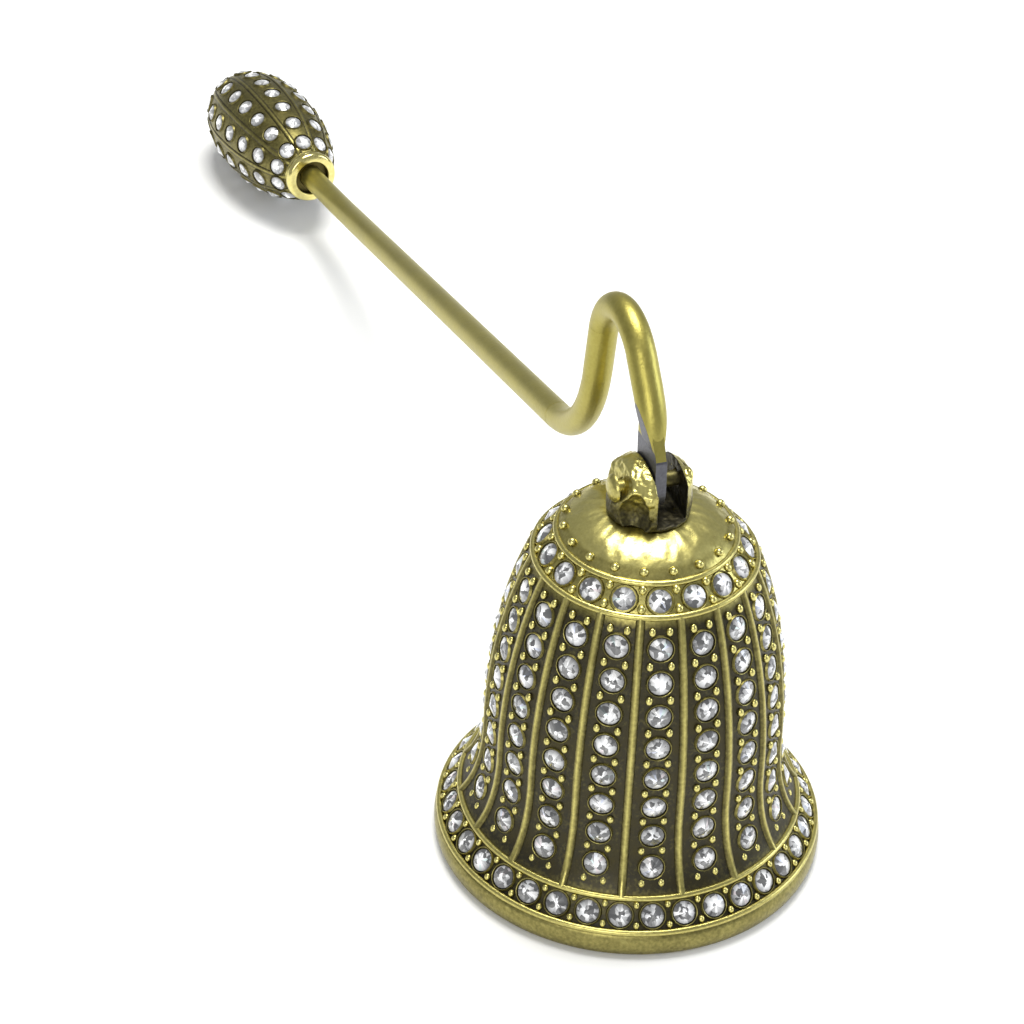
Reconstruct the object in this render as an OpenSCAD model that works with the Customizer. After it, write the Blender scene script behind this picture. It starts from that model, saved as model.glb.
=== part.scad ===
// Bell-shaped candle snuffer set with round stones, on a bent rod handle that hinges on top.
// Frame: origin at the middle of the mouth, on the plane that the cup stands on; +Z up;
// the handle runs towards +X and its pivot pin lies along Y.

/* [Cup] */
// Outer diameter of the foot, across its beaded edge
mouth_d = 40; // [38:0.5:44]
// Height of the cup, up to the seat of the clevis
cup_height = 40.95; // [40:0.05:42]
// Height of the plain rim below the beaded edge
rim_height = 3.15; // [2.8:0.05:3.4]
// Wall thickness of the cup, measured level
wall = 1.6; // [1.5:0.05:2]
// Height of the ribs and rings above the ground between them
relief = 0.35; // [0.2:0.05:0.45]
// Width of a rib
rib_w = 0.65; // [0.4:0.05:0.8]
// Turn of the ribs about the cup's axis, in degrees
rib_phase = -3.4; // [-10:0.1:10]

/* [Stones] */
// Diameter of a stone on the cup
stone_d = 2.5; // [2:0.05:2.5]
// Diameter of a stone on the finial
finial_stone_d = 2.05; // [1.8:0.05:2.1]
// Height of a stone above the ground it is set in
stone_crown = 0.5; // [0.3:0.05:0.6]
// Gap between a stone and the wall of its seat
seat_gap = 0.04; // [0.02:0.01:0.08]

/* [Clevis and pin] */
// Diameter of the slotted stud that carries the handle
clevis_d = 8.4; // [8.2:0.1:9]
// Height of the clevis above the cup
clevis_h = 6; // [5.6:0.1:6.4]
// Diameter of the pivot pin
pin_d = 1.6; // [1.4:0.1:1.8]
// Radial running clearance of the handle's eye on the pin
pin_clearance = 0.06; // [0.03:0.01:0.1]
// Diameter of the pin's domed heads
pin_head_d = 2.9; // [2.6:0.1:3]

/* [Handle] */
// Diameter of the handle rod
rod_d = 3; // [2.8:0.1:3.1]
// Thickness of the flattened end that carries the eye
paddle_t = 1.16; // [1:0.02:1.2]
// Width of the flattened end
paddle_w = 4.8; // [4.4:0.1:4.9]

/* [Finial] */
// Largest diameter of the finial's body
finial_d = 13.9; // [13.2:0.1:14]
// Outer diameter of the finial's collar
collar_d = 7.1; // [6.6:0.1:7.4]

/* [Hidden] */
$fn = 48;

brass = [0.60, 0.56, 0.27];
dark_brass = [0.42, 0.38, 0.18];
bright_brass = [0.78, 0.72, 0.38];
crystal = [0.92, 0.94, 0.96];

// Curves -------------------------------------------------------------------

function unit(v) = v / norm(v);

function bezier(p, t) = pow(1 - t, 3) * p[0] + 3 * pow(1 - t, 2) * t * p[1]
    + 3 * (1 - t) * t * t * p[2] + pow(t, 3) * p[3];

function curve(p, steps) = [for (i = [0:steps]) bezier(p, i / steps)];

function tail(list) = [for (i = [1:len(list) - 1]) list[i]];

// Point at a distance along a path, and the outward normal of the path there
function walk(path, s, i = 0) =
    let (step = path[i + 1] - path[i], length = norm(step))
    s <= length || i == len(path) - 2
        ? [path[i] + step * s / length, unit([-step.y, step.x])]
        : walk(path, s - length, i + 1);

// Cup outline, as radius and height ------------------------------------------

foot_r = mouth_d / 2;
ring_a = [9.15, cup_height - 2.36];
ring_b = [11.39, cup_height - 4.88];
ring_c = [foot_r - 2.13, rim_height + 2.74];
ring_d = [foot_r, rim_height];
waist = [15.5, rim_height + 11.8];
clevis_seat_r = clevis_d / 2 + 0.2;

side_crest = concat(
    curve([ring_b, [14.15, rim_height + 26.8], [15.5, rim_height + 19], waist], 8),
    tail(curve([waist, [15.5, rim_height + 8], [16.25, rim_height + 4.65], ring_c], 6))
);
side_ground = [for (p = side_crest) p - [relief, 0]];
cap_curve = curve([
    [clevis_seat_r, cup_height], [6.2, cup_height - 0.3], [7.9, cup_height - 1.2],
    ring_a - [0.25, 0.1]
], 5);
rim_r = foot_r + 0.25;
rim_outline = [
    ring_d - [0.3, 0.1], [foot_r - 0.25, rim_height - 0.45], [rim_r - 0.15, rim_height - 0.75],
    [rim_r, rim_height / 2], [rim_r - 0.15, 0.5], [rim_r - 0.6, 0]
];

// Inside of the cup
throat_top = cup_height - 1.6;
mouth_inner_r = foot_r - 2.1;
hollow_outline = concat(
    [[0, -1], [mouth_inner_r, -1], [mouth_inner_r, 2]],
    [for (i = [len(side_crest) - 1:-1:0]) side_crest[i] - [wall + relief, 0.1]],
    [[7.6, throat_top - 1.8], [3.8, throat_top], [0, throat_top]]
);

// Stones on the cup ----------------------------------------------------------

panels = 18;
panel_angle = 360 / panels;
panel_rows = 8;
first_stone = 3.3;
stone_pitch = 3.56;
seat_r = stone_d / 2 + seat_gap;
stone_depth = 0.7;

function band_seat(a, b) =
    let (along = unit(b - a), out = [-along.y, along.x])
    [(a + b) / 2 - relief * out, out];

shoulder_seat = band_seat(ring_a, ring_b);
foot_seat = band_seat(ring_c, ring_d);
function panel_seat(row) = walk(side_ground, first_stone + (row - 1) * stone_pitch);

// Places its children on the cup at a seat [point, normal], count times around
module around_cup(seat, count, start) {
    for (i = [0:count - 1])
        rotate([0, 0, start + i * 360 / count])
            translate([seat[0].x, 0, seat[0].y])
                rotate([0, atan2(seat[1].x, seat[1].y), 0])
                    children();
}

// One stone: a flat table, a faceted crown drawn as a cone, a short pavilion
module stone(d, depth) {
    girdle = 0.1;
    rotate_extrude()
        polygon([
            [0, -depth], [d * 0.3, -depth], [d / 2, -girdle],
            [d / 2, girdle], [d * 0.29, stone_crown], [0, stone_crown]
        ]);
}

module seat_hole(r, depth) {
    translate([0, 0, -depth - seat_gap]) cylinder(r = r, h = depth + seat_gap + 1);
}

module panel_stone_row(row) {
    color(crystal)
        around_cup(panel_seat(row), panels, rib_phase + panel_angle / 2)
            stone(stone_d, stone_depth);
}

module shoulder_stones() {
    color(crystal)
        around_cup(shoulder_seat, panels, rib_phase + panel_angle / 2)
            stone(stone_d, stone_depth);
}

module foot_stones() {
    color(crystal)
        around_cup(foot_seat, 2 * panels, rib_phase) stone(stone_d, stone_depth);
}

// Cup ------------------------------------------------------------------------

shank_d = 4;
shank_gap = 0.02;

module ring(crest, lean) {
    rotate_extrude($fn = 96)
        translate(crest - relief * unit(lean)) circle(r = relief, $fn = 16);
}

module ribs() {
    last = len(side_crest) - 1;
    intersection() {
        rotate_extrude()
            polygon(concat(side_crest, [for (i = [last:-1:0]) side_crest[i] - [1, 0]]));
        for (i = [0:panels - 1])
            rotate([0, 0, rib_phase + i * panel_angle])
                translate([8, -rib_w / 2, 4]) cube([14, rib_w, 34]);
    }
}

module cap_beads() {
    bead_r = 0.38;
    for (i = [0:panels - 1])
        rotate([0, 0, rib_phase + i * panel_angle])
            translate([8.25, 0, cup_height - 1.75]) sphere(r = bead_r, $fn = 16);
}

module cup() {
    color(brass)
        difference() {
            union() {
                rotate_extrude()
                    polygon(concat(
                        [[0, 0], [0, cup_height]], cap_curve,
                        [ring_a - [0.27, 0.24], ring_b - [0.27, 0.24]],
                        side_ground, rim_outline
                    ));
                ribs();
                ring(ring_a, [0.75, 0.66]);
                ring(ring_b, [0.9, 0.44]);
                ring(ring_c, [0.75, 0.66]);
                ring(ring_d, [0.79, 0.61]);
                cap_beads();
            }
            rotate_extrude() polygon(hollow_outline);
            cylinder(d = shank_d + 2 * shank_gap, h = cup_height + 1);
            around_cup(shoulder_seat, panels, rib_phase + panel_angle / 2)
                seat_hole(seat_r, stone_depth);
            around_cup(foot_seat, 2 * panels, rib_phase) seat_hole(seat_r, stone_depth);
            for (row = [1:panel_rows])
                around_cup(panel_seat(row), panels, rib_phase + panel_angle / 2)
                    seat_hole(seat_r, stone_depth);
        }
}

// Clevis and pivot pin ---------------------------------------------------------

pivot = [-0.3, 0, cup_height + 3.4];
slot_floor = cup_height + 0.4;
slot_left = paddle_t / 2 + 0.1;
slot_right = -2.6;
ear_dome_r = 5.5;
head_seat_y = 3.8;
head_h = 0.7;
scoop_r = 2.2;

module clevis() {
    color(dark_brass)
        difference() {
            union() {
                intersection() {
                    translate([0, 0, cup_height]) cylinder(d = clevis_d, h = clevis_h + 1);
                    translate([0, 0, cup_height + clevis_h - ear_dome_r])
                        sphere(r = ear_dome_r);
                }
                translate([0, 0, throat_top]) cylinder(d = shank_d, h = cup_height - throat_top + 1);
                translate([0, 0, throat_top - 0.7]) cylinder(d1 = 5, d2 = 6, h = 0.7);
            }
            translate([-10, slot_right, slot_floor])
                cube([20, slot_left - slot_right, 20]);
            translate([pivot.x, 10, pivot.z])
                rotate([90, 0, 0]) cylinder(d = pin_d + 2 * shank_gap, h = 20);
            for (side = [-1, 1])
                translate([pivot.x, side * (head_seat_y + 1), pivot.z])
                    rotate([90, 0, 0]) cylinder(d = pin_head_d + 0.2, h = 2, center = true);
            rotate([0, 0, 139])
                translate([clevis_d / 2 + 0.9, 0, cup_height + 1.6]) sphere(r = scoop_r);
        }
}

module pin_head() {
    rim = 0.15;
    rotate_extrude()
        polygon([
            [0, 0], [pin_head_d / 2, 0], [pin_head_d / 2, rim],
            [pin_head_d * 0.38, head_h * 0.7], [pin_head_d * 0.2, head_h * 0.94], [0, head_h]
        ]);
}

module pivot_pin() {
    color(dark_brass)
        translate(pivot) {
            rotate([90, 0, 0]) cylinder(d = pin_d, h = 2 * head_seat_y, center = true);
            for (side = [0, 180])
                rotate([90, 0, side]) translate([0, 0, head_seat_y]) pin_head();
        }
}

// Handle -----------------------------------------------------------------------

finial_front = [128.5, -2.9, 8.55];
finial_centre = [145.3, -0.9, 7.6];
finial_axis = unit(finial_centre - finial_front);
rod_inset = 6;

// Corners of the rod's centre line, from the eye to the finial, and the radius at each corner
rod_corners = [
    pivot, [0, 0, 50.95], [12, 0, 65.85], [16.6, 0, 37.85],
    finial_front - 8 * finial_axis, finial_front + rod_inset * finial_axis
];
rod_radii = [0, 10, 5.6, 15.6, 75, 0];

function rod_turn(i) =
    acos(unit(rod_corners[i] - rod_corners[i - 1]) * unit(rod_corners[i + 1] - rod_corners[i]));
function rod_tangent(i) = rod_radii[i] == 0 ? 0 : rod_radii[i] * tan(rod_turn(i) / 2);

// How far each straight runs into the bends, and how much thinner the bends are, so that
// every piece ends inside its neighbour
lap = 0.25;
bend_step = 0.03;

// A cylinder from a to b
module rod_straight(a, b, d) {
    v = b - a;
    translate(a)
        rotate([0, acos(v.z / norm(v)), atan2(v.y, v.x)]) cylinder(d = d, h = norm(v));
}

// The bend at corner i, as part of a torus
module rod_bend(i, d) {
    into = unit(rod_corners[i] - rod_corners[i - 1]);
    out = unit(rod_corners[i + 1] - rod_corners[i]);
    inward = unit(out - (out * into) * into);
    centre = rod_corners[i] - rod_tangent(i) * into + rod_radii[i] * inward;
    normal = cross(-inward, into);
    multmatrix([
        [-inward.x, into.x, normal.x, centre.x],
        [-inward.y, into.y, normal.y, centre.y],
        [-inward.z, into.z, normal.z, centre.z],
        [0, 0, 0, 1]
    ])
        rotate_extrude(angle = rod_turn(i), $fn = 96)
            translate([rod_radii[i], 0]) circle(d = d, $fn = 32);
}

module bent_rod(d) {
    last = len(rod_corners) - 1;
    for (i = [1:last]) {
        into = unit(rod_corners[i] - rod_corners[i - 1]);
        rod_straight(
            rod_corners[i - 1] + (rod_tangent(i - 1) - lap) * into,
            rod_corners[i] - (rod_tangent(i) - lap) * into, d);
    }
    for (i = [1:last - 1]) rod_bend(i, d - bend_step);
}

paddle_top = pivot.z + 4.2;
press_top = pivot.z + 8.6;
rod_x_at_press_top = 1.5;

// Outline of the pressed end, looking along the pin
module paddle_outline() {
    half = paddle_w / 2;
    translate([pivot.x, pivot.z]) circle(r = half);
    polygon([
        [pivot.x - half, pivot.z], [pivot.x - half + 0.2, paddle_top - 0.8],
        [rod_x_at_press_top - 1, press_top], [rod_x_at_press_top + 1, press_top],
        [pivot.x + half + 0.3, paddle_top - 0.8], [pivot.x + half, pivot.z]
    ]);
}

// What the press takes off one side of the rod: all but the paddle's thickness beside the
// eye, and less and less further up
module press_wedge(side) {
    flat_y = paddle_t / 2 - 0.02;
    translate([-12, 0, 0])
        rotate([90, 0, 90])
            linear_extrude(24)
                polygon([
                    [side * flat_y, pivot.z - 4], [side * flat_y, paddle_top],
                    [side * (rod_d / 2 + 0.2), press_top + 0.5],
                    [side * 4, press_top + 0.5], [side * 4, pivot.z - 4]
                ]);
}

module handle_rod() {
    color(brass)
        difference() {
            union() {
                difference() {
                    bent_rod(rod_d);
                    press_wedge(1);
                    press_wedge(-1);
                }
                translate([0, paddle_t / 2, 0])
                    rotate([90, 0, 0]) linear_extrude(paddle_t) paddle_outline();
            }
            translate([pivot.x, 5, pivot.z])
                rotate([90, 0, 0]) cylinder(d = pin_d + 2 * pin_clearance, h = 10);
        }
}

// Finial -------------------------------------------------------------------------

finial_r = finial_d / 2;
collar_l = 1.8;
belly = norm(finial_centre - finial_front);
finial_end = 30.1;
finial_columns = 10;
finial_rows = 7;
first_finial_row = 1.5;
finial_pitch = 3.8;
// The finial's stones sit shallow, because they stand close round its narrow end
finial_stone_depth = 0.35;
collar_seat_r = 3.3;

// Body outline from the collar to the tip, as radius and distance from the collar's face
finial_outline = concat(
    curve([[collar_seat_r, collar_l], [5.4, 4.6], [finial_r, 10], [finial_r, belly]], 7),
    tail(curve([
        [finial_r, belly], [finial_r, belly + 7.2], [3.9, finial_end], [0, finial_end]
    ], 8))
);

// Moves its children to the finial: local Z runs from the collar's face to the tip
module on_finial() {
    translate(finial_front)
        rotate([0, acos(finial_axis.z), atan2(finial_axis.y, finial_axis.x)]) children();
}

function finial_seat(row) =
    let (at = walk(finial_outline, first_finial_row + (row - 1) * finial_pitch))
    [at[0], -at[1]];

module around_finial(row) {
    seat = finial_seat(row);
    for (i = [0:finial_columns - 1])
        rotate([0, 0, i * 360 / finial_columns])
            translate([seat[0].x, 0, seat[0].y])
                rotate([0, atan2(seat[1].x, seat[1].y), 0])
                    children();
}

module finial_collar() {
    color(bright_brass)
        on_finial()
            difference() {
                rotate_extrude()
                    polygon([
                        [0, 0], [2.9, 0], [collar_d / 2 - 0.15, 0.25], [collar_d / 2, 0.8],
                        [collar_d / 2 - 0.15, 1.35], [collar_seat_r, collar_l], [0, collar_l]
                    ]);
                translate([0, 0, -1]) cylinder(r = 2.4, h = 1.9);
                translate([0, 0, -1]) cylinder(d = rod_d + 2 * shank_gap, h = collar_l + 2);
            }
}

module finial_body() {
    color(brass)
        on_finial()
            difference() {
                rotate_extrude() polygon(concat([[0, collar_l]], finial_outline));
                cylinder(d = rod_d + 2 * shank_gap, h = rod_inset + 2 * lap);
                for (row = [1:finial_rows])
                    around_finial(row)
                        seat_hole(finial_stone_d / 2 + seat_gap, finial_stone_depth);
            }
}

module finial_stone_row(row) {
    color(crystal)
        on_finial() around_finial(row) stone(finial_stone_d, finial_stone_depth);
}

// Nodes --------------------------------------------------------------------------

cup();
clevis();
pivot_pin();
handle_rod();
finial_collar();
finial_body();
shoulder_stones();
panel_stone_row(1);  // panel_stones_1
panel_stone_row(2);  // panel_stones_2
panel_stone_row(3);  // panel_stones_3
panel_stone_row(4);  // panel_stones_4
panel_stone_row(5);  // panel_stones_5
panel_stone_row(6);  // panel_stones_6
panel_stone_row(7);  // panel_stones_7
panel_stone_row(8);  // panel_stones_8
foot_stones();
finial_stone_row(1);  // finial_stones_1
finial_stone_row(2);  // finial_stones_2
finial_stone_row(3);  // finial_stones_3
finial_stone_row(4);  // finial_stones_4
finial_stone_row(5);  // finial_stones_5
finial_stone_row(6);  // finial_stones_6
finial_stone_row(7);  // finial_stones_7
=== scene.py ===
# %% [markdown]
# # A jewelled candle snuffer
# A snuffer is a small metal bell on a long handle: it is lowered over a candle to put it out. This one is
# cast brass, darkened in its hollows and worn bright on its ridges, and set with round clear stones. The
# lesson builds it piece by piece round the finished working model, which gives every size and place.

# %% Load the working model
import math
import random

import bpy
import numpy as np
from mathutils import Matrix, Quaternion, Vector


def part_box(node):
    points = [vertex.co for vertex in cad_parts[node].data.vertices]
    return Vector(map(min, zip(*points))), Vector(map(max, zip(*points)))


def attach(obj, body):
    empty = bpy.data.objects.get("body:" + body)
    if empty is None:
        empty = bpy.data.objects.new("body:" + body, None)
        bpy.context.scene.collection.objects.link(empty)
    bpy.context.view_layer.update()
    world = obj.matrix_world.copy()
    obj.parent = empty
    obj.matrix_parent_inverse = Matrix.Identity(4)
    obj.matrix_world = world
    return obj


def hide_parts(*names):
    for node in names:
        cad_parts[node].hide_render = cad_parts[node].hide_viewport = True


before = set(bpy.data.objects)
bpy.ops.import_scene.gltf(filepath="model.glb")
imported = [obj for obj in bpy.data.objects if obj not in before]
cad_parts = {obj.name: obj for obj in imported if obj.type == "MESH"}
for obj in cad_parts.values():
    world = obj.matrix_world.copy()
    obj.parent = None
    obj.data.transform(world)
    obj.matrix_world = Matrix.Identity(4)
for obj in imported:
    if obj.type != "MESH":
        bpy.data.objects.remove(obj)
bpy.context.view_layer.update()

MM = 0.001
print("pieces in the working model:", len(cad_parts))

# %% [markdown]
# ## Camera
# The snuffer is seen from above and from the side of the cup, with its handle running away. A camera is
# aimed by turning its minus Z axis along the line of sight. The small roll after that is the tilt of the
# hand that held it.

# %% Camera
CAMERA_PLACE = Vector((-220.1, 96.7, 209.95)) * MM
CAMERA_SIGHT = Vector((0.76402, -0.28639, -0.57814))
CAMERA_ROLL = math.radians(2.27)

lens = bpy.data.cameras.new("camera")
lens.lens = 105.5
lens.sensor_width = 36
lens.clip_start = 0.01
camera = bpy.data.objects.new("camera", lens)
camera.location = CAMERA_PLACE
aim = CAMERA_SIGHT.to_track_quat("-Z", "Y") @ Quaternion((0, 0, 1), CAMERA_ROLL)
camera.rotation_euler = aim.to_euler()
bpy.context.scene.collection.objects.link(camera)
bpy.context.scene.camera = camera
print("camera is", round(CAMERA_PLACE.length / MM), "mm from the cup's foot")

# %% [markdown]
# ## Light and floor
# Metal shows what is around it, so it needs large soft lights and some darkness between them. One big
# panel from above gives the cap and the rod their long highlights, a smaller one opens up the shadows,
# and a low cool one picks out the cup's far side. The floor is a plain pale sheet.

# %% Light and floor
def soft_light(name, place, target, size, power, colour):
    """A square light panel at a place, turned to face a target."""
    data = bpy.data.lights.new(name, "AREA")
    data.shape = "SQUARE"
    data.size = size
    data.energy = power
    data.color = colour
    light = bpy.data.objects.new(name, data)
    light.location = place
    light.rotation_euler = (Vector(target) - Vector(place)).to_track_quat("-Z", "Y").to_euler()
    bpy.context.scene.collection.objects.link(light)


soft_light("key_panel", (0.12, -0.05, 0.55), (0.0, 0.0, 0.03), 0.26, 3.2, (1.0, 0.99, 0.95))
soft_light("fill_panel", (-0.45, 0.30, 0.30), (0.0, 0.0, 0.02), 0.30, 1.3, (1.0, 0.99, 0.96))
soft_light("cool_panel", (-0.10, -0.50, 0.20), (0.0, 0.0, 0.02), 0.25, 1.0, (0.80, 0.87, 1.0))

world = bpy.data.worlds.new("studio")
world.use_nodes = True
world.node_tree.nodes["Background"].inputs["Color"].default_value = (0.93, 0.96, 1.0, 1)
world.node_tree.nodes["Background"].inputs["Strength"].default_value = 0.40
bpy.context.scene.world = world
bpy.context.scene.view_settings.view_transform = "Standard"

bpy.ops.mesh.primitive_plane_add(size=4, location=(0, 0, -0.02 * MM))
floor = bpy.context.object
floor.name = "floor"

# %% [markdown]
# ## Working by selection
# Every operator acts on what is selected, so a helper clears the selection and picks one object before
# each step. A second one opens that object in edit mode with everything selected.

# %% Selection helpers
def pick(*objects):
    """Selects these objects only, and makes the first one active."""
    if bpy.context.object and bpy.context.object.mode == "EDIT":
        bpy.ops.object.mode_set(mode="OBJECT")
    bpy.ops.object.select_all(action="DESELECT")
    for item in objects:
        item.select_set(True)
    bpy.context.view_layer.objects.active = objects[0]


def edit(item):
    """Opens an object in edit mode with everything selected."""
    pick(item)
    bpy.ops.object.mode_set(mode="EDIT")
    bpy.ops.mesh.select_all(action="SELECT")


def close_skin(item, smooth_angle=40):
    """Merges doubles, points the faces outwards, and smooths all but the sharp edges."""
    edit(item)
    bpy.ops.mesh.remove_doubles(threshold=0.001 * MM)
    bpy.ops.mesh.normals_make_consistent(inside=False)
    bpy.ops.object.mode_set(mode="OBJECT")
    bpy.ops.object.shade_smooth_by_angle(angle=math.radians(smooth_angle))
    return item


def finish_piece(item, body, slot, *nodes):
    """Says which body a finished piece rides on and what it stands for, and prints its size; the slot,
    its finish, is not used.
    """
    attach(item, body)
    if nodes:
        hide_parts(*nodes)
    size = [round(d / MM, 1) for d in item.dimensions]
    print(item.name, "is", size, "mm and has", len(item.data.polygons), "faces")


# %% [markdown]
# ## Drawing and turning outlines
# Most of the snuffer was turned or cast from a turned pattern. So an outline is drawn by extruding one
# vertex from point to point, and spun round the Z axis as on a lathe. Where the outline starts and ends
# on the axis, or on itself, the spun skin is closed.

# %% Outline and lathe
def draw_line(name, points):
    """Draws a line through points by extruding one vertex, and leaves it in edit mode."""
    if bpy.context.object:
        pick(bpy.context.object)
    bpy.ops.object.select_all(action="DESELECT")
    bpy.ops.mesh.primitive_plane_add(size=MM)
    item = bpy.context.object
    item.name = name
    edit(item)
    bpy.ops.mesh.merge(type="CENTER")
    bpy.ops.transform.translate(value=points[0])
    for here, there in zip(points, points[1:]):
        step = Vector(there) - Vector(here)
        bpy.ops.mesh.extrude_region_move(TRANSFORM_OT_translate={"value": step})
    bpy.ops.mesh.select_all(action="SELECT")
    return item


def lathe(name, outline, steps, smooth_angle=40):
    """Spins an outline of (radius, height) points once round the Z axis."""
    item = draw_line(name, [(r, 0, z) for r, z in outline])
    bpy.ops.mesh.spin(steps=steps, angle=math.tau, center=(0, 0, 0), axis=(0, 0, 1))
    return close_skin(item, smooth_angle)


def bezier(p, t):
    """The point at t, from 0 to 1, on a cubic curve with four control points."""
    weights = ((1 - t) ** 3, 3 * (1 - t) ** 2 * t, 3 * (1 - t) * t * t, t ** 3)
    return sum((Vector(q) * w for q, w in zip(p, weights)), Vector((0, 0)))


def curve(points, steps):
    """A cubic curve as a list of points in metres, from control points in millimetres."""
    return [bezier(points, i / steps) * MM for i in range(steps + 1)]


# %% [markdown]
# ## Copies
# Beads, bezels and ribs repeat hundreds of times. Each is modelled once, stamped in every place as a copy
# with its own mesh, and the copies are joined. A number for wear is painted on each part before it is
# joined: 0 in a hollow that keeps its dark patina, 1 on a ridge that hands have rubbed bright. On some
# parts the same number also carries painted light: painted shade in the clevis's slot and hollow and
# round the stones, and a painted highlight on the beads' crowns.

# %% Stamp, paint and join
def stamp(name, pattern, matrices):
    """Copies a pattern to each place, joins the copies, and removes the pattern."""
    made = []
    for matrix in matrices:
        item = pattern.copy()
        item.data = pattern.data.copy()
        item.data.transform(matrix)
        bpy.context.scene.collection.objects.link(item)
        made.append(item)
    bpy.data.objects.remove(pattern)
    return join(name, made)


def join(name, items):
    """Joins objects into one and names it."""
    pick(*items)
    bpy.ops.object.join()
    items[0].name = name
    items[0].data.name = name
    return items[0]


def paint_wear_and_light(item, rule):
    """Writes one number of wear and painted light on each vertex; the rule takes a place in metres and
    gives 0 to 1.
    """
    wear_and_painted_light = item.data.attributes.new("wear_and_painted_light", "FLOAT", "POINT")
    wear_and_painted_light.data.foreach_set("value", [float(rule(v.co)) for v in item.data.vertices])
    return item


def turns(count, start=0.0):
    """Rotations that spread copies evenly round the Z axis, from a start angle in degrees."""
    return [Matrix.Rotation(math.radians(start + i * 360 / count), 4, "Z") for i in range(count)]


# %% [markdown]
# ## Shader maths
# A material is a small calculation at each point of the surface. Wrapping a socket in a class lets it be
# written as plain Python: adding two wrapped sockets adds a Math node to the material.

# %% The Shade class
class Shade:
    """A socket of a material's nodes that can be used in Python expressions."""

    def __init__(self, tree, socket=None):
        self.tree = tree
        self.socket = socket

    def node(self, kind, settings=None, inputs=None, output=0):
        """Adds a node: its type, its settings, and then the values or links of its inputs."""
        made = self.tree.nodes.new(kind)
        for name, value in (settings or {}).items():
            setattr(made, name, value)
        for key, value in (inputs or {}).items():
            if isinstance(value, Shade):
                self.tree.links.new(value.socket, made.inputs[key])
            else:
                made.inputs[key].default_value = value
        return Shade(self.tree, made.outputs[output])

    def math(self, operation, *values, clamp=False):
        settings = {"operation": operation, "use_clamp": clamp}
        return self.node("ShaderNodeMath", settings, dict(enumerate(values)))

    def __add__(self, other):
        return self.math("ADD", self, other)

    __radd__ = __add__

    def __sub__(self, other):
        return self.math("SUBTRACT", self, other)

    def __rsub__(self, other):
        return self.math("SUBTRACT", other, self)

    def __mul__(self, other):
        return self.math("MULTIPLY", self, other)

    __rmul__ = __mul__

    def clamp(self):
        return self.math("ADD", self, 0.0, clamp=True)

    def absolute(self):
        return self.math("ABSOLUTE", self)

    def blend(self, low, high):
        """The colour low where this is 0 and the colour high where it is 1."""
        return self.node("ShaderNodeMix", {"data_type": "RGBA"}, {0: self, 6: low, 7: high}, 2)

    def noise(self, grain, detail=3.0):
        """Soft spots about grain metres across, read at this place."""
        inputs = {"Vector": self, "Scale": 1 / grain, "Detail": detail}
        return self.node("ShaderNodeTexNoise", {}, inputs)


def axes(place):
    """The X, Y and Z of a place, as three Shades."""
    parts = place.node("ShaderNodeSeparateXYZ", {}, {"Vector": place}).socket.node
    return [Shade(place.tree, output) for output in parts.outputs]


def new_material(name):
    """A material with a Principled shader: returns it, a Shade to start from, and the shader."""
    material = bpy.data.materials.new(name)
    material.use_nodes = True
    tree = material.node_tree
    return material, Shade(tree), tree.nodes["Principled BSDF"]


def feed(shader, **values):
    """Sets or links the shader's sockets; Base_Color stands for the socket Base Color."""
    for name, value in values.items():
        socket = shader.inputs[name.replace("_", " ")]
        if isinstance(value, Shade):
            value.tree.links.new(value.socket, socket)
        else:
            socket.default_value = value


# %% [markdown]
# ## Floor paint
# A matt white with the faintest cloudiness, so that only soft shadows show on it.

# %% Floor paint
def floor_paint():
    material, start, shader = new_material("floor_paint")
    place = start.node("ShaderNodeTexCoord", output="Object")
    cloud = place.noise(0.4)
    feed(shader, Base_Color=cloud.blend((0.93, 0.93, 0.93, 1), (0.96, 0.96, 0.96, 1)), Roughness=0.9)
    return material


floor.data.materials.append(floor_paint())

# %% [markdown]
# ## Antique brass
# Antique brass is plated, dipped in a liquid that turns it nearly black, and rubbed back. What was rubbed
# is a greenish gold, and what lies deep stays brown to blue-black and dull. The wear painted on the mesh
# says which is which, and two sizes of noise break its edge up. Where that number carries painted shade
# and painted highlights, this same blend paints them as dark patina and bright gold. A fine bump stands
# for the satin surface.

# %% Antique brass
PATINA_BROWN = (0.062, 0.050, 0.014, 1)
PATINA_BLUE = (0.028, 0.030, 0.034, 1)
BRASS_DULL = (0.30, 0.255, 0.055, 1)
BRASS_BRIGHT = (0.84, 0.76, 0.29, 1)


def antique_brass(name, hammer=0.0, bright=0.0):
    """Brass with patina where wear is low; hammer is the strength of its dents."""
    material, start, shader = new_material(name)
    place = start.node("ShaderNodeTexCoord", output="Object")
    # This number is wear, and on some parts painted shade and painted highlights too.
    wear_and_painted_light = start.node("ShaderNodeAttribute", {"attribute_name": "wear_and_painted_light"}, output="Fac")
    blotches = place.noise(2.2 * MM)
    specks = place.noise(0.35 * MM, 4)
    rubbed = (wear_and_painted_light * 1.25 + (blotches - 0.5) * 0.45 + (specks - 0.5) * 0.55 - 0.1).clamp()
    patina = blotches.blend(PATINA_BROWN, PATINA_BLUE)
    gilt = (specks * 0.5 + wear_and_painted_light * 0.5 + (bright - 0.25)).clamp().blend(BRASS_DULL, BRASS_BRIGHT)
    dents = place.noise(0.9 * MM, 2) * hammer + specks * 0.25 + blotches * 0.2
    bump = start.node("ShaderNodeBump", {}, {"Strength": 0.35, "Distance": 0.15 * MM, "Height": dents})
    feed(shader, Base_Color=rubbed.blend(patina, gilt), Metallic=0.88 + 0.12 * rubbed,
         Roughness=0.46 - 0.16 * rubbed + 0.12 * (blotches - 0.5), Normal=bump)
    return material


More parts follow.
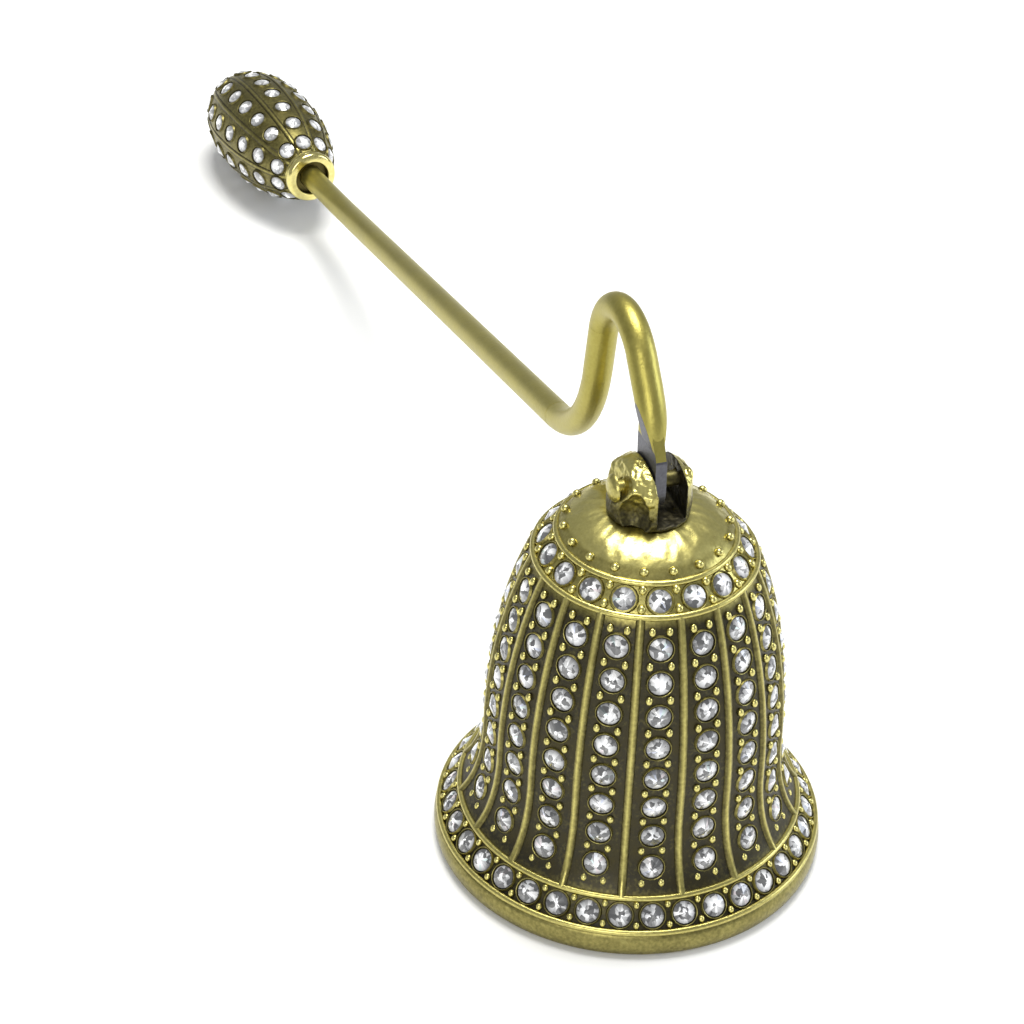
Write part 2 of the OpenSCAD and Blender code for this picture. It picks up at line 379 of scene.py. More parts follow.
cast_brass = antique_brass("cast_antique_brass", hammer=0.5)
stud_brass = antique_brass("stud_aged_brass", hammer=0.5)
print("brass materials:", cast_brass.name, stud_brass.name)

# %% [markdown]
# ## Where the stones sit
# The working model holds every stone as a plain solid. Each row is copied, its doubles merged and its
# loose parts separated, and each part then says where its stone is and which way it faces. A stone is
# wider than it is thick, so it faces along the direction in which its points spread least.

# %% Measure the seats
CUP_STONE = 2.5 * MM
FINIAL_STONE = 2.3 * MM
CROWN = 0.5 * MM


def seats_of(node, inside):
    """The (point, normal) of each stone of a node; inside is a place that the stones face away from."""
    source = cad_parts[node]
    copy = bpy.data.objects.new("measured", source.data.copy())
    bpy.context.scene.collection.objects.link(copy)
    edit(copy)
    bpy.ops.mesh.remove_doubles(threshold=0.001 * MM)
    bpy.ops.mesh.separate(type="LOOSE")
    bpy.ops.object.mode_set(mode="OBJECT")
    parts = list(bpy.context.selected_objects)
    seats = []
    for part in parts:
        points = np.array([v.co for v in part.data.vertices])
        middle = points.mean(0)
        spread = np.linalg.eigh(np.cov((points - middle).T))
        normal = Vector(spread[1][:, 0])
        away = Vector(middle) - Vector(inside(middle))
        if normal.dot(away) < 0:
            normal.negate()
        top = max((points - middle) @ np.array(normal))
        seats.append((Vector(middle) + normal * (top - CROWN), normal))
        bpy.data.objects.remove(part)
    return seats


def on_cup_axis(place):
    return (0, 0, place[2])


shoulder_seats = seats_of("shoulder_stones", on_cup_axis)
panel_seats = [seats_of(f"panel_stones_{row}", on_cup_axis) for row in range(1, 9)]
foot_seats = seats_of("foot_stones", on_cup_axis)

row_middles = []
for row in (1, 7):
    points = [v.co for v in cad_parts[f"finial_stones_{row}"].data.vertices]
    row_middles.append(sum(points, Vector()) / len(points))
finial_line = (row_middles[1] - row_middles[0]).normalized()


def on_finial_axis(place):
    return row_middles[0] + finial_line * (Vector(place) - row_middles[0]).dot(finial_line)


finial_seats = [seats_of(f"finial_stones_{row}", on_finial_axis) for row in range(1, 8)]
print("cup stones:", len(shoulder_seats) + sum(map(len, panel_seats)) + len(foot_seats))
print("finial stones:", sum(map(len, finial_seats)))


def seat_matrix(seat, up=Vector((0, 0, 1)), side=0.0, along=0.0, lift=0.0, turn=0.0):
    """Puts Z on the seat's normal and Y up the surface, and shifts by side, along and lift."""
    point, normal = seat
    right = up.cross(normal).normalized()
    rise = normal.cross(right)
    place = point + right * side + rise * along + normal * lift
    turned = Matrix((right, rise, normal)).transposed().to_4x4() @ Matrix.Rotation(turn, 4, "Z")
    return Matrix.Translation(place) @ turned


# %% [markdown]
# ## Cup wall
# The cup is one casting. Its outside runs from the cap's middle over the domed cap, down the shoulder
# band, the long curved side and the foot band to the rim, and its inside comes back up. Turning the
# whole outline at once gives a closed wall of true thickness.

# %% Cup outline
CUP_TOP = 40.95
RIM = 3.15
FOOT = 20.0
RELIEF = 0.35
WALL = 1.6
RING_A = Vector((9.15, CUP_TOP - 2.36))
RING_B = Vector((11.39, CUP_TOP - 4.88))
RING_C = Vector((17.87, RIM + 2.74))
RING_D = Vector((FOOT, RIM))
WAIST = Vector((15.5, RIM + 11.8))

upper_side = curve([RING_B, (14.15, RIM + 26.8), (15.5, RIM + 19), WAIST], 14)
lower_side = curve([WAIST, (15.5, RIM + 8), (16.25, RIM + 4.65), RING_C], 10)
side_crest = upper_side + lower_side[1:]
side_ground = [p - Vector((RELIEF, 0)) * MM for p in side_crest]
cap = curve([
    (4.4, CUP_TOP), (6.2, CUP_TOP - 0.3), (7.9, CUP_TOP - 1.2), RING_A - Vector((0.25, 0.1))
], 12)


def straight(start, end, steps):
    """Evenly spaced points between two points in millimetres, without the first."""
    return [Vector(start).lerp(Vector(end), i / steps) * MM for i in range(1, steps + 1)]


band_sink = Vector((0.27, 0.24))
shoulder = straight(RING_A - band_sink, RING_B - band_sink, 4)
rim_middle = Vector((FOOT - 0.35, 1.45))
rim_round = [
    (rim_middle + Vector((0.6 * math.cos(a), 1.35 * math.sin(a)))) * MM
    for a in (math.radians(d) for d in range(66, -67, -12))
]
rim = [Vector((FOOT - 0.45, RIM - 0.3)) * MM] + rim_round + [Vector((FOOT - 0.3, 0.05)) * MM]
lip = [Vector((r, z)) * MM for r, z in ((19.55, 0.0), (18.1, 0.0), (17.9, 0.15), (17.9, 2.0))]
inner_side = [p - Vector((WALL + RELIEF, 0.1)) * MM for p in reversed(side_crest)]
throat = [
    Vector((r, CUP_TOP - drop)) * MM for r, drop in ((7.6, 3.4), (3.8, 1.6), (0, 1.6))
]
cup_outline = (
    [Vector((0, CUP_TOP)) * MM] + cap + [(RING_A - band_sink) * MM] + shoulder
    + side_ground[1:] + rim + lip + inner_side + throat
)
print("the cup's outline has", len(cup_outline), "points")

# %% [markdown]
# The cap was beaten and polished, so its skin is a little uneven. A Displace modifier moves each vertex
# along its normal by a cloud pattern, and a vertex group keeps it to the cap. Wear above 1 is used for
# the parts rubbed brightest: the material clips it.

# %% Turn the cup wall
def wall_wear(place):
    """Bright on the cap and the rim, darker on the bands, darkest between the ribs and inside."""
    radius = math.hypot(place.x, place.y) / MM
    height = place.z / MM
    if height > RING_A.y - 0.3 and radius < 9.3:
        return 1.1 if radius < 7.7 else 0.65
    if RING_B.y - 0.4 < height and radius > 8.5:
        return 0.70
    if height < RIM - 0.2 and radius > 18.0:
        return 0.50 if height < RIM - 0.45 else 0.0
    if height < RING_C.y + 0.1 and radius > 17.2:
        return 0.22
    return 0.07


cup_wall = lathe("cup_wall", cup_outline, 144)
cap_group = cup_wall.vertex_groups.new(name="cap")
cap_vertices = [
    v.index for v in cup_wall.data.vertices
    if v.co.z > (CUP_TOP - 2.3) * MM and v.normal.z > 0
    and 4.3 * MM < math.hypot(v.co.x, v.co.y) < 8.8 * MM
]
cap_group.add(cap_vertices, 1.0, "REPLACE")
dents = bpy.data.textures.new("dents", "CLOUDS")
dents.noise_scale = 0.8 * MM
pick(cup_wall)
hammering = cup_wall.modifiers.new("hammering", "DISPLACE")
hammering.texture = dents
hammering.vertex_group = "cap"
hammering.strength = 0.24 * MM
hammering.mid_level = 0.6
bpy.ops.object.modifier_apply(modifier="hammering")
cup_wall.vertex_groups.clear()
paint_wear_and_light(cup_wall, wall_wear)
print("hammered vertices on the cap:", len(cap_vertices))

# %% [markdown]
# ## Rings and ribs
# Four raised rings part the cup into bands, and eighteen ribs part its side into panels. A ring is a
# torus sunk into the wall. A rib is drawn down the crest line and extruded sideways in steps that round
# its top, and is then made solid inwards so that its underside is buried in the wall. Only the middle of
# a rib is rubbed bright.

# %% Rings and ribs
PANELS = 18
RIB_PHASE = -3.4
RIB_WIDTH = 0.95


def ring(name, crest, lean):
    """A raised ring whose top touches the crest point, leaning outwards."""
    centre = crest - Vector(lean).normalized() * RELIEF
    bpy.ops.object.select_all(action="DESELECT")
    bpy.ops.mesh.primitive_torus_add(
        major_segments=144, minor_segments=10,
        major_radius=centre.x * MM, minor_radius=RELIEF * MM, location=(0, 0, centre.y * MM))
    item = bpy.context.object
    item.name = name
    bpy.ops.object.transform_apply(location=True)
    bpy.ops.object.shade_smooth()
    return item


def rib(name, crest, width, height, depth):
    """A rounded strip along crest, a list of (radius, height) points, centred on the XZ plane."""
    half = width / 2
    item = draw_line(name, [(p[0] - height, -half, p[1]) for p in crest])
    profile = ((0.75 * height, 0.3 * half), (0.25 * height, 0.7 * half),
               (-0.25 * height, 0.7 * half), (-0.75 * height, 0.3 * half))
    for out, across in profile:
        bpy.ops.mesh.extrude_region_move(TRANSFORM_OT_translate={"value": (out, across, 0)})
    bpy.ops.mesh.select_all(action="SELECT")
    bpy.ops.mesh.extrude_region_move(TRANSFORM_OT_translate={"value": (-depth, 0, 0)})
    return close_skin(item, 60)


def crest_wear(place, most, drop, reach):
    """Wear that is most on a rib's middle and falls by drop at the distance reach from it."""
    return most - drop * min(1.0, abs(place.y) / reach)


rings = [
    ring("ring_a", RING_A, (0.75, 0.66)), ring("ring_b", RING_B, (0.90, 0.44)),
    ring("ring_c", RING_C, (0.75, 0.66)), ring("ring_d", RING_D, (0.79, 0.61)),
]
one_rib = rib("rib", side_crest, RIB_WIDTH * MM, (RELIEF + 0.05) * MM, 0.3 * MM)
paint_wear_and_light(one_rib, lambda place: crest_wear(place, 0.82, 0.55, 0.35 * MM))
ribs = stamp("ribs", one_rib, turns(PANELS, RIB_PHASE))
for raised in rings:
    paint_wear_and_light(raised, lambda place: 0.85)
print("ribs:", PANELS, "rings:", len(rings))

# %% [markdown]
# ## Bezels and beads
# Each stone drops into a round seat with a thin raised edge, its bezel. Between the stones the casting
# has small beads that were pressed over their edges. A bezel is a short lathe outline that closes on
# itself; a bead is the top of a small ball, stretched along the surface and brightest at its crown, which
# is rubbed wear and a painted highlight together.

# %% Bezels and beads
def bezel(stone, wear_and_painted_light):
    """The raised edge of a seat, round a stone of this diameter; wear is that of its outside."""
    inner = stone / 2 + 0.02 * MM
    wall_top = 0.16 * MM
    width = 0.15 * MM
    outline = [
        (inner, -0.3 * MM), (inner + 0.02 * MM, wall_top), (inner + width * 0.55, wall_top + 0.03 * MM),
        (inner + width * 1.3, -0.08 * MM), (inner, -0.3 * MM)
    ]
    item = lathe("bezel", outline, 18, 50)
    return paint_wear_and_light(item, lambda p: 0.0 if math.hypot(p.x, p.y) < inner + 0.01 * MM else wear_and_painted_light)


def bead(radius, stretch):
    """The top of a ball, stretched along Y, that rests on the surface."""
    bpy.ops.object.select_all(action="DESELECT")
    bpy.ops.mesh.primitive_uv_sphere_add(segments=8, ring_count=6, radius=radius)
    item = bpy.context.object
    item.name = "bead"
    edit(item)
    bpy.ops.transform.resize(value=(1, stretch, 0.9))
    bpy.ops.mesh.bisect(plane_co=(0, 0, -0.3 * radius), plane_no=(0, 0, 1), clear_inner=True,
                        use_fill=True)
    bpy.ops.object.mode_set(mode="OBJECT")
    bpy.ops.object.shade_smooth_by_angle(angle=math.radians(60))
    # The crown gets more than 1, which the material clips: rubbed wear and a painted highlight.
    return paint_wear_and_light(item, lambda place: 1.2 if place.z > 0.3 * radius else 0.5)


all_seats = shoulder_seats + foot_seats + [seat for row in panel_seats for seat in row]
bezels = stamp("bezels", bezel(CUP_STONE, 0.5), [seat_matrix(seat) for seat in all_seats])

PRONG_SIDE = 1.05 * MM
HALF_PITCH = 1.78 * MM
prong_places = []
for row in panel_seats[:-1]:
    for seat in row:
        for side in (-PRONG_SIDE, PRONG_SIDE):
            prong_places.append(seat_matrix(seat, side=side, along=-HALF_PITCH))
for seat in panel_seats[0]:
    for side in (-0.85 * MM, 0.85 * MM):
        prong_places.append(seat_matrix(seat, side=side, along=1.75 * MM))
for seat in panel_seats[-1]:
    for side in (-1.0 * MM, 1.0 * MM):
        prong_places.append(seat_matrix(seat, side=side, along=-1.75 * MM))
prongs = stamp("prongs", bead(0.38 * MM, 1.3), prong_places)


def between(seats):
    """Seats halfway between neighbours round the cup's axis."""
    ordered = sorted(seats, key=lambda seat: math.atan2(seat[0].y, seat[0].x))
    pairs = zip(ordered, ordered[1:] + ordered[:1])
    return [((a[0] + b[0]) / 2 + (a[1] + b[1]) * 0.06 * MM, (a[1] + b[1]).normalized()) for a, b in pairs]


def band_beads(name, seats, across, radius):
    """Two beads in each gap of a band of stones, one near either ring."""
    places = [seat_matrix(gap, along=along) for gap in between(seats) for along in (-across, across)]
    return stamp(name, bead(radius, 1.2), places)


shoulder_beads = band_beads("shoulder_beads", shoulder_seats, 0.95 * MM, 0.44 * MM)
foot_beads = band_beads("foot_beads", foot_seats, 1.0 * MM, 0.34 * MM)
cap_bead = bead(0.48 * MM, 1.0)
cap_slope = Matrix.Rotation(math.radians(35), 4, "Y")
cap_bead_place = Matrix.Translation((8.25 * MM, 0, (CUP_TOP - 1.7) * MM)) @ cap_slope
cap_beads = stamp("cap_beads", cap_bead, [turn @ cap_bead_place for turn in turns(PANELS, RIB_PHASE)])
print("bezels:", len(all_seats), "panel beads:", len(prong_places))

# %% Join the cup
cup = join("cup_casting", [cup_wall, *rings, ribs, bezels, prongs, shoulder_beads, foot_beads, cap_beads])
cup.data.materials.clear()
cup.data.materials.append(cast_brass)
finish_piece(cup, "bell", "antique_brass", "cup")

# %% [markdown]
# ## Cut stones
# The stones are glass chatons: an eight-sided table, a ring of sloping facets and a thin girdle, with a
# mirror foil behind. What the eye sees is a patchwork of white, grey and black reflections. So the stone
# is modelled with real facets, the table is parted into eight wedges, and each face gets its own painted
# reflection, a tone from a fixed random order. The number painted here is low at the edge, which paints
# a dark line of shade round it.

# %% Cut one stone
def cut_stone(diameter, crown):
    """A round stone: a 16-sided girdle, an 8-sided table in wedges, and facets between them."""
    radius = diameter / 2 - 0.11 * MM
    girdle = 0.08 * MM
    bpy.ops.object.select_all(action="DESELECT")
    bpy.ops.mesh.primitive_cylinder_add(vertices=16, radius=radius, depth=0.3 * MM,
                                        location=(0, 0, girdle - 0.15 * MM))
    item = bpy.context.object
    item.name = "stone"
    bpy.ops.object.transform_apply(location=True)
    edit(item)
    bpy.ops.mesh.select_all(action="DESELECT")
    bpy.ops.object.mode_set(mode="OBJECT")
    for face in item.data.polygons:
        face.select = face.normal.z > 0.9
    bpy.ops.object.mode_set(mode="EDIT")
    bpy.ops.mesh.extrude_region_move(TRANSFORM_OT_translate={"value": (0, 0, crown - girdle)})
    bpy.ops.transform.resize(value=(0.58, 0.58, 1))
    bpy.ops.object.mode_set(mode="OBJECT")
    top = [v for v in item.data.vertices if v.co.z > crown - 0.01 * MM]
    top.sort(key=lambda v: math.atan2(v.co.y, v.co.x))
    partner = {v.index: i // 2 for i, v in enumerate(top)}
    for edge in item.data.edges:
        a, b = edge.vertices
        edge.select = a in partner and b in partner and partner[a] == partner[b]
    bpy.ops.object.mode_set(mode="EDIT")
    bpy.ops.mesh.select_mode(type="EDGE")
    bpy.ops.mesh.edge_collapse()
    bpy.ops.mesh.select_all(action="DESELECT")
    bpy.ops.mesh.select_mode(type="FACE")
    bpy.ops.object.mode_set(mode="OBJECT")
    for face in item.data.polygons:
        face.select = face.normal.z > 0.99
    bpy.ops.object.mode_set(mode="EDIT")
    bpy.ops.mesh.poke(offset=0.02 * MM)
    bpy.ops.mesh.select_mode(type="VERT")
    bpy.ops.object.mode_set(mode="OBJECT")
    bpy.ops.object.shade_flat()
    # Low at the girdle: a painted dark line of shade round the stone.
    return paint_wear_and_light(item, lambda place: 1.0 if place.xy.length < 0.7 * radius else 0.15)


# %% [markdown]
# The tones are painted reflections, kept on the mesh as a colour for each face. Most facets are white or
# light grey, some are nearly black, and a few have a painted glint of blue, green or rose, as cut glass
# shows. A cell pattern of painted light and dark reflections breaks them up further, and a little
# emission makes the stones glow, standing for the light that the foil throws back. No light really passes
# through these stones.

# %% Tones and crystal
WHITE = (1, 1, 1, 1)
REFLECTION_TONES = [
    ((1.0, 1.0, 1.0), 14), ((0.72, 0.74, 0.76), 6), ((0.34, 0.35, 0.36), 4), ((0.10, 0.10, 0.11), 5),
    ((0.02, 0.02, 0.025), 5), ((0.55, 0.80, 0.78), 1), ((0.80, 0.62, 0.66), 1), ((0.50, 0.58, 0.85), 1)
]


def paint_facet_reflections(item, seed):
    """Paints each face one reflection tone, in an order fixed by the seed."""
    chance = random.Random(seed)
    colours, weights = zip(*REFLECTION_TONES)
    picked = chance.choices(colours, weights, k=len(item.data.polygons))
    corners = [face.loop_total for face in item.data.polygons]
    values = np.repeat(np.array([(*c, 1.0) for c in picked], np.float32), corners, axis=0)
    tones = item.data.attributes.new("reflection_tone", "FLOAT_COLOR", "CORNER")
    tones.data.foreach_set("color", values.ravel())


CELL = 0.48 * MM


def crystal(name, shine):
    """Foiled glass with painted reflections and a painted glow; shine, from 0 to 1, washes out its tones
    and its dark cells towards white.
    """
    material, start, shader = new_material(name)
    reflection_tone = start.node("ShaderNodeAttribute", {"attribute_name": "reflection_tone"}, output="Color")
    core_vs_edge_shade = start.node("ShaderNodeAttribute", {"attribute_name": "wear_and_painted_light"}, output="Fac")
    place = start.node("ShaderNodeTexCoord", output="Object")
    # A warped cell pattern paints patches of dark and light reflection.
    warp = place.noise(0.5 * MM, 1) * (0.4 * MM)
    bent = start.node("ShaderNodeVectorMath", {"operation": "ADD"}, {0: place, 1: warp})
    cells = start.node("ShaderNodeTexVoronoi", {}, {"Vector": bent, "Scale": 1 / CELL}, "Color")
    patch = (cells * 7.0 - 2.8).clamp()
    facet = start.node("ShaderNodeMix", {"data_type": "RGBA"}, {0: shine, 6: reflection_tone, 7: WHITE}, 2)
    darkest_reflection = 0.04 + 0.7 * shine ** 3
    cell_reflections = patch.blend((darkest_reflection, darkest_reflection, darkest_reflection, 1), WHITE)
    inner = start.node("ShaderNodeMix", {"data_type": "RGBA", "blend_type": "MULTIPLY"},
                       {0: 1.0, 6: facet, 7: cell_reflections}, 2)
    # Painted shade: towards the stone's edge the colour goes nearly black.
    colour = core_vs_edge_shade.blend((0.05, 0.05, 0.05, 1), inner)
    # The emission is a painted glow: the stones give off light of their own, for the light the foil
    # throws back.
    feed(shader, Base_Color=colour, Metallic=0.0, Roughness=0.08, IOR=1.6, Coat_Weight=1.0,
         Coat_Roughness=0.02, Emission_Color=colour, Emission_Strength=0.5 + 0.3 * shine)
    return material


cup_crystal = crystal("foiled_crystal", 0.45)
finial_crystal = crystal("bright_crystal", 0.8)
spin_order = random.Random(7)


def set_stones(name, seats, pattern, body, node, up=Vector((0, 0, 1))):
    """Sets one row of stones, each turned a little differently in its seat."""
    places = [seat_matrix(seat, up=up, turn=spin_order.uniform(0, math.tau)) for seat in seats]
    row = stamp(name, pattern, places)
    paint_facet_reflections(row, name)
    row.data.materials.clear()
    row.data.materials.append(cup_crystal if body == "bell" else finial_crystal)
    finish_piece(row, body, "crystal", node)


set_stones("shoulder_chatons", shoulder_seats, cut_stone(CUP_STONE, CROWN), "bell", "shoulder_stones")
for number, seats in enumerate(panel_seats, 1):
    stone = cut_stone(CUP_STONE, CROWN)
    set_stones(f"panel_chatons_{number}", seats, stone, "bell", f"panel_stones_{number}")
set_stones("foot_chatons", foot_seats, cut_stone(CUP_STONE, CROWN), "bell", "foot_stones")
for number, seats in enumerate(finial_seats, 1):
    stone = cut_stone(FINIAL_STONE, CROWN)
    set_stones(f"finial_chatons_{number}", seats, stone, "handle", f"finial_stones_{number}",
               up=-finial_line)

# %% [markdown]
# ## Clevis
# The slotted stud on the cap was cast rough and bent over the pin by hand, so nothing on it is straight.
# It is modelled like clay. A copy of the working shape has its near ear cut to a slope and hollowed with
# a ball, and gets lumps of metal laid along its edges. A Remesh modifier melts them into one skin, and
# two sizes of cloud pattern roughen it. The slot stays open, because the lumps keep out of it.

# %% Lumps on the ears
def lump(place, size, lean=0.0):
    """A ball of metal, stretched by size and leaning about X; its place is in mm above the cup."""
    bpy.ops.object.select_all(action="DESELECT")
    bpy.ops.mesh.primitive_ico_sphere_add(subdivisions=3, radius=MM,
                                          location=(Vector(place) + Vector((0, 0, CUP_TOP))) * MM)
    item = bpy.context.object
    item.scale = size
    item.rotation_euler.x = math.radians(lean)
    bpy.ops.object.transform_apply(location=True, rotation=True, scale=True)
    return item


clevis = bpy.data.objects.new("clevis_casting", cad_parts["clevis"].data.copy())
bpy.context.scene.collection.objects.link(clevis)
clevis.data.materials.clear()
edit(clevis)
bpy.ops.mesh.remove_doubles(threshold=0.001 * MM)
bpy.ops.mesh.bisect(plane_co=(0, 4.3 * MM, (CUP_TOP + 1.4) * MM), plane_no=(0, 0.90, 0.43),
                    clear_outer=True, use_fill=True)
bpy.ops.object.mode_set(mode="OBJECT")
scoop = lump((-3.3, 2.8, 2.2), (1.15, 1.2, 2.1))
pick(clevis)
hollowing = clevis.modifiers.new("hollowing", "BOOLEAN")
hollowing.operation = "DIFFERENCE"
hollowing.solver = "EXACT"
hollowing.object = scoop
bpy.ops.object.modifier_apply(modifier="hollowing")
bpy.data.objects.remove(scoop)
ear_rim = [
    lump((-3.65, 1.35, 3.3), (0.5, 0.5, 0.75)), lump((-3.05, 1.30, 4.25), (0.65, 0.55, 0.55)),
    lump((-2.1, 1.35, 4.85), (0.7, 0.55, 0.4)), lump((-0.9, 1.5, 5.1), (0.8, 0.6, 0.4)),
    lump((-3.85, 1.25, 2.2), (0.35, 0.4, 0.8)), lump((-2.6, 2.2, 4.0), (0.5, 0.5, 0.4))
]
far_ear = [lump((-1.3, -3.4, 4.4), (0.9, 0.45, 0.7)), lump((1.2, -3.5, 1.8), (0.9, 0.5, 1.3))]
clevis = join("clevis_casting", [clevis, *ear_rim, *far_ear])


# %% Melt and roughen the clevis
def roughen(item, name, grain, strength):
    """Moves the skin in and out by a cloud pattern of this grain."""
    clouds = bpy.data.textures.new(name, "CLOUDS")
    clouds.noise_scale = grain
    rough = item.modifiers.new(name, "DISPLACE")
    rough.texture = clouds
    rough.strength = strength
    rough.mid_level = 0.55
    bpy.ops.object.modifier_apply(modifier=name)


pick(clevis)
melt = clevis.modifiers.new("melt", "REMESH")
melt.mode = "VOXEL"
melt.voxel_size = 0.11 * MM
bpy.ops.object.modifier_apply(modifier="melt")
settle = clevis.modifiers.new("settle", "SMOOTH")
settle.factor = 0.5
settle.iterations = 4
bpy.ops.object.modifier_apply(modifier="settle")
roughen(clevis, "casting_waves", 1.3 * MM, 0.30 * MM)
roughen(clevis, "casting_grit", 0.45 * MM, 0.10 * MM)
bpy.ops.object.shade_smooth()


def clevis_wear_and_shade(place):
    """Painted shade in the slot and the near ear's hollow; brighter up the ears with painted light from
    above and wear on their edges.
    """
    x, y, z = place / MM - Vector((0, 0, CUP_TOP))
    # Painted shade in the slot between the ears.
    if -2.7 < y < 0.75 and z > 0.3:
        return 0.05
    # Painted shade in the near ear's hollow, and lighter with height as if lit from above.
    hollow = (Vector((x, y, z)) - Vector((-3.8, 3.3, 1.6))).length
    height = min(1, max(0, (z - 1.3) / 3.5))
    return min(0.18 + 0.9 * height, 0.25 + max(0, hollow - 1.6) * 0.7)


paint_wear_and_light(clevis, clevis_wear_and_shade)
clevis.data.materials.append(stud_brass)
finish_piece(clevis, "bell", "aged_brass", "clevis")

# %% [markdown]
# ## Pivot pin
# The pin is a rivet: a straight shank whose ends were hammered into domes. Its outline is turned round
# the Z axis and then laid along Y through the ears. Its near end is shorter, because that ear is cut.

# %% Pivot pin
pin_low, pin_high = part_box("pivot_pin")
pin_middle = (pin_low + pin_high) / 2
pin_half = (pin_high.y - pin_low.y) / 2
HEAD_RADIUS = 1.45 * MM
HEAD_HEIGHT = 0.7 * MM
SHANK_RADIUS = 0.8 * MM
head = [
    (HEAD_RADIUS * math.cos(a) ** 0.8, pin_half - HEAD_HEIGHT + HEAD_HEIGHT * math.sin(a))
    for a in (math.radians(d) for d in range(0, 90, 15))
]
pin_top = [(SHANK_RADIUS, pin_half - HEAD_HEIGHT)] + head + [(0, pin_half)]
NEAR_END_CUT = 0.5 * MM
pin_outline = [(r, NEAR_END_CUT - z) for r, z in reversed(pin_top)] + pin_top
pin = lathe("pivot_rivet", pin_outline, 32, 50)
edit(pin)
bpy.ops.transform.rotate(value=math.radians(90), orient_axis="X", center_override=(0, 0, 0))
bpy.ops.transform.translate(value=pin_middle)
bpy.ops.object.mode_set(mode="OBJECT")
paint_wear_and_light(pin, lambda place: 0.75 if abs(place.y) > pin_half - HEAD_HEIGHT - NEAR_END_CUT else 0.1)
pin.data.materials.append(stud_brass)
finish_piece(pin, "bell", "aged_brass", "pivot_pin")

# %% [markdown]
# ## Handle rod
# The rod's shape comes from the working model. Its lower end was pressed flat, and its two flat faces
# are coloured a dark steel grey, while the round part keeps its satin brass. The faces are found by their
# distance from the middle plane: it is constant beside the eye and grows where the press runs out. Inside
# the slot, between the ears, the edge gets the same dark grey as painted shade.

# %% Rod material
def rod_brass():
    material, start, shader = new_material("rod_satin_brass")
    place = start.node("ShaderNodeTexCoord", output="Object")
    along, across, up = axes(place)
    height = up - pin_middle.z
    off_middle = across.absolute()
    slope = (1.70 - 0.56) / (9.1 - 4.2)
    press = height.math("MAXIMUM", (height - 4.2 * MM) * slope, 0.0) + 0.535 * MM
    low_enough = height.math("LESS_THAN", height, 9.0 * MM)
    near_eye = height.math("LESS_THAN", along.absolute(), 8.0 * MM)
    flat_faces_and_slot_shade = off_middle.math("GREATER_THAN", off_middle, press) * low_enough * near_eye
    # Painted shade: the edge inside the slot, between the ears, gets the same dark grey.
    slot_shade = height.math("LESS_THAN", height, 3.6 * MM) * near_eye
    flat_faces_and_slot_shade = flat_faces_and_slot_shade.math("MAXIMUM", flat_faces_and_slot_shade, slot_shade)
    blotches = place.noise(3.0 * MM)
    specks = place.noise(0.3 * MM, 4)
    mottle = (blotches * 0.7 + specks * 0.5 - 0.1).clamp()
    satin = mottle.blend((0.29, 0.25, 0.055, 1), (0.50, 0.44, 0.12, 1))
    steel_grey_and_shade = specks.blend((0.075, 0.075, 0.085, 1), (0.17, 0.17, 0.19, 1))
    bump = start.node("ShaderNodeBump", {}, {"Strength": 0.4, "Distance": 0.12 * MM,
                                             "Height": specks * 0.6 + blotches * 0.4})
    feed(shader, Base_Color=flat_faces_and_slot_shade.blend(satin, steel_grey_and_shade), Metallic=0.95,
         Roughness=0.40 + 0.1 * (blotches - 0.5) + 0.05 * flat_faces_and_slot_shade, Normal=bump)
    return material


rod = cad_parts["handle_rod"]
rod.data.materials.clear()
rod.data.materials.append(rod_brass())

# %% [markdown]
# ## Finial
# The egg at the handle's end is a casting of its own, with a ridge between each two columns of stones. It
# is turned upright, from its collar face up to its tip, and then laid along the line through the rows of
# stones that the working model gives. Its ridges are ribs drawn along the same outline.

# %% Finial body
FINIAL_RADIUS = 6.95
BELLY = 16.94
FINIAL_END = 30.0
COLLAR = 1.8
COLUMNS = 10

near_half = curve([(3.3, COLLAR), (5.4, 4.6), (FINIAL_RADIUS, 10), (FINIAL_RADIUS, BELLY)], 16)
far_half = curve([
    (FINIAL_RADIUS, BELLY), (FINIAL_RADIUS, BELLY + 7.2), (3.9, FINIAL_END), (0, FINIAL_END)
], 18)
egg = near_half + far_half[1:]
body_outline = [Vector((0, COLLAR)) * MM] + egg

collar_low, collar_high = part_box("finial_collar")
collar_middle = on_finial_axis((collar_low + collar_high) / 2)
collar_face = collar_middle - finial_line * COLLAR / 2 * MM
finial_turn = finial_line.to_track_quat("Z", "Y").to_matrix().to_4x4()
first = finial_seats[0][0][0]
local_first = finial_turn.inverted() @ (first - collar_face)
column_phase = math.degrees(math.atan2(local_first.y, local_first.x))
lay_finial = Matrix.Translation(collar_face) @ finial_turn
print("finial line:", [round(c, 3) for c in finial_line], "first stone column at", round(column_phase, 1))

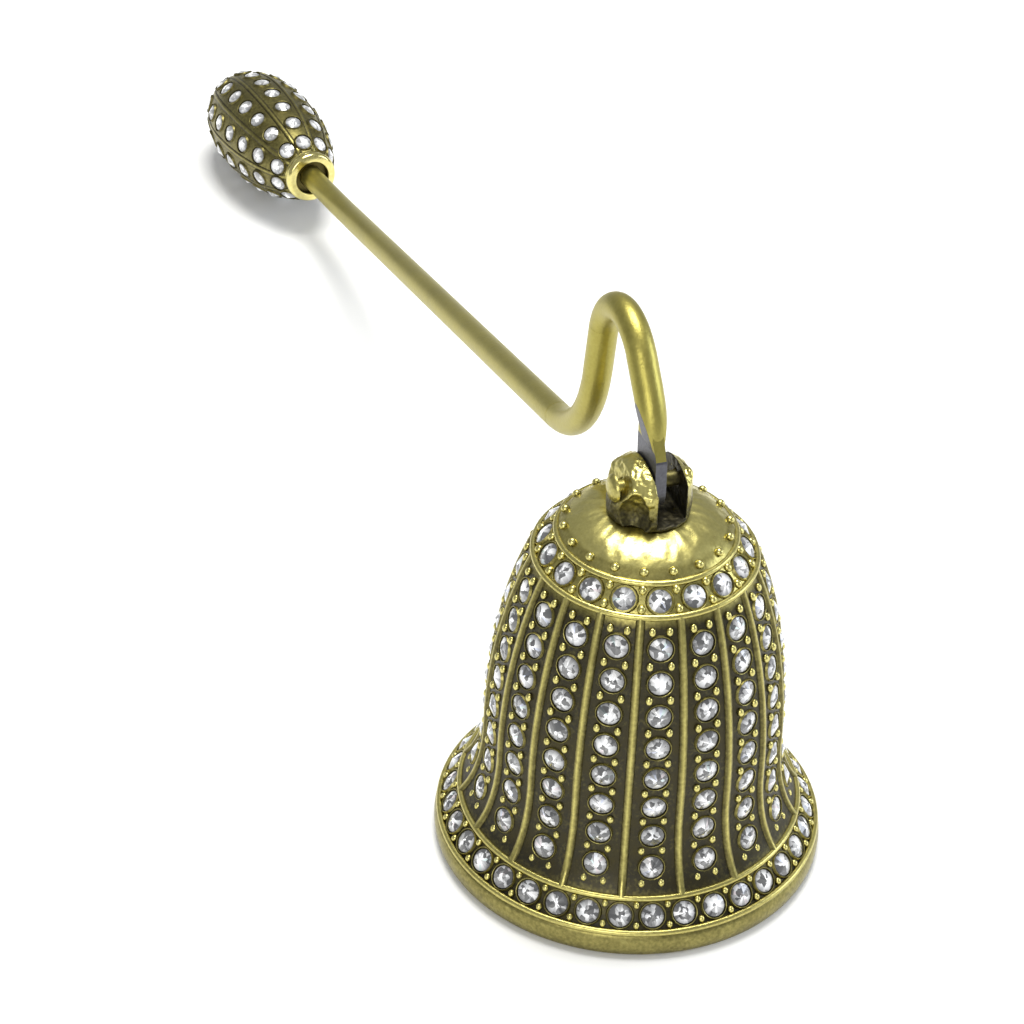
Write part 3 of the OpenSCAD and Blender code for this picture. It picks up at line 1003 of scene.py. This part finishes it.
finial_body = lathe("finial_skin", body_outline, 96)
paint_wear_and_light(finial_body, lambda place: 0.38)
ridge_line = [(p[0] + 0.12 * MM, p[1]) for p in egg[:-3]]
ridge = rib("ridge", ridge_line, 1.0 * MM, 0.30 * MM, 0.3 * MM)
paint_wear_and_light(ridge, lambda place: crest_wear(place, 0.6, 0.5, 0.3 * MM))
ridges = stamp("ridges", ridge, turns(COLUMNS, column_phase + 180 / COLUMNS))
finial = join("finial_casting", [finial_body, ridges])
finial.data.transform(lay_finial)
bezel_places = [seat_matrix(seat, up=-finial_line) for row in finial_seats for seat in row]
finial_bezels = stamp("finial_bezels", bezel(FINIAL_STONE, 0.3), bezel_places)
finial = join("finial_casting", [finial, finial_bezels])
finial.data.materials.clear()
finial.data.materials.append(cast_brass)
finish_piece(finial, "handle", "antique_brass", "finial_body")

# %% [markdown]
# ## Finial collar
# A bright turned ring closes the egg. Its face has a recess round the rod, which stays dark.

# %% Polished brass and the collar
def polished_brass():
    material, start, shader = new_material("polished_brass")
    place = start.node("ShaderNodeTexCoord", output="Object")
    wear_and_painted_light = start.node("ShaderNodeAttribute", {"attribute_name": "wear_and_painted_light"}, output="Fac")
    specks = place.noise(0.4 * MM, 3)
    gilt = specks.blend((0.62, 0.53, 0.16, 1), (0.88, 0.80, 0.36, 1))
    bump = start.node("ShaderNodeBump", {}, {"Strength": 0.15, "Distance": 0.08 * MM, "Height": specks})
    feed(shader, Base_Color=wear_and_painted_light.blend(PATINA_BROWN, gilt), Metallic=1.0,
         Roughness=0.45 - 0.27 * wear_and_painted_light + 0.08 * (specks - 0.5), Normal=bump)
    return material


COLLAR_RADIUS = 3.55
collar_bulge = [
    ((COLLAR_RADIUS - 0.45 + 0.45 * math.cos(a)) * MM, (0.75 + 0.65 * math.sin(a)) * MM)
    for a in (math.radians(d) for d in range(-80, 81, 16))
]
collar_outline = (
    [(2.45 * MM, 0.02 * MM)] + collar_bulge + [(3.3 * MM, COLLAR * MM), (1.55 * MM, COLLAR * MM)]
    + [(1.55 * MM, 0.9 * MM), (2.3 * MM, 0.9 * MM), (2.35 * MM, 0.1 * MM), (2.45 * MM, 0.02 * MM)]
)
collar = lathe("collar_ring", collar_outline, 64, 45)
paint_wear_and_light(collar, lambda p: 0.05 if math.hypot(p.x, p.y) < 2.37 * MM else 1.0)
collar.data.transform(lay_finial)
collar.data.materials.append(polished_brass())
finish_piece(collar, "handle", "polished_brass", "finial_collar")
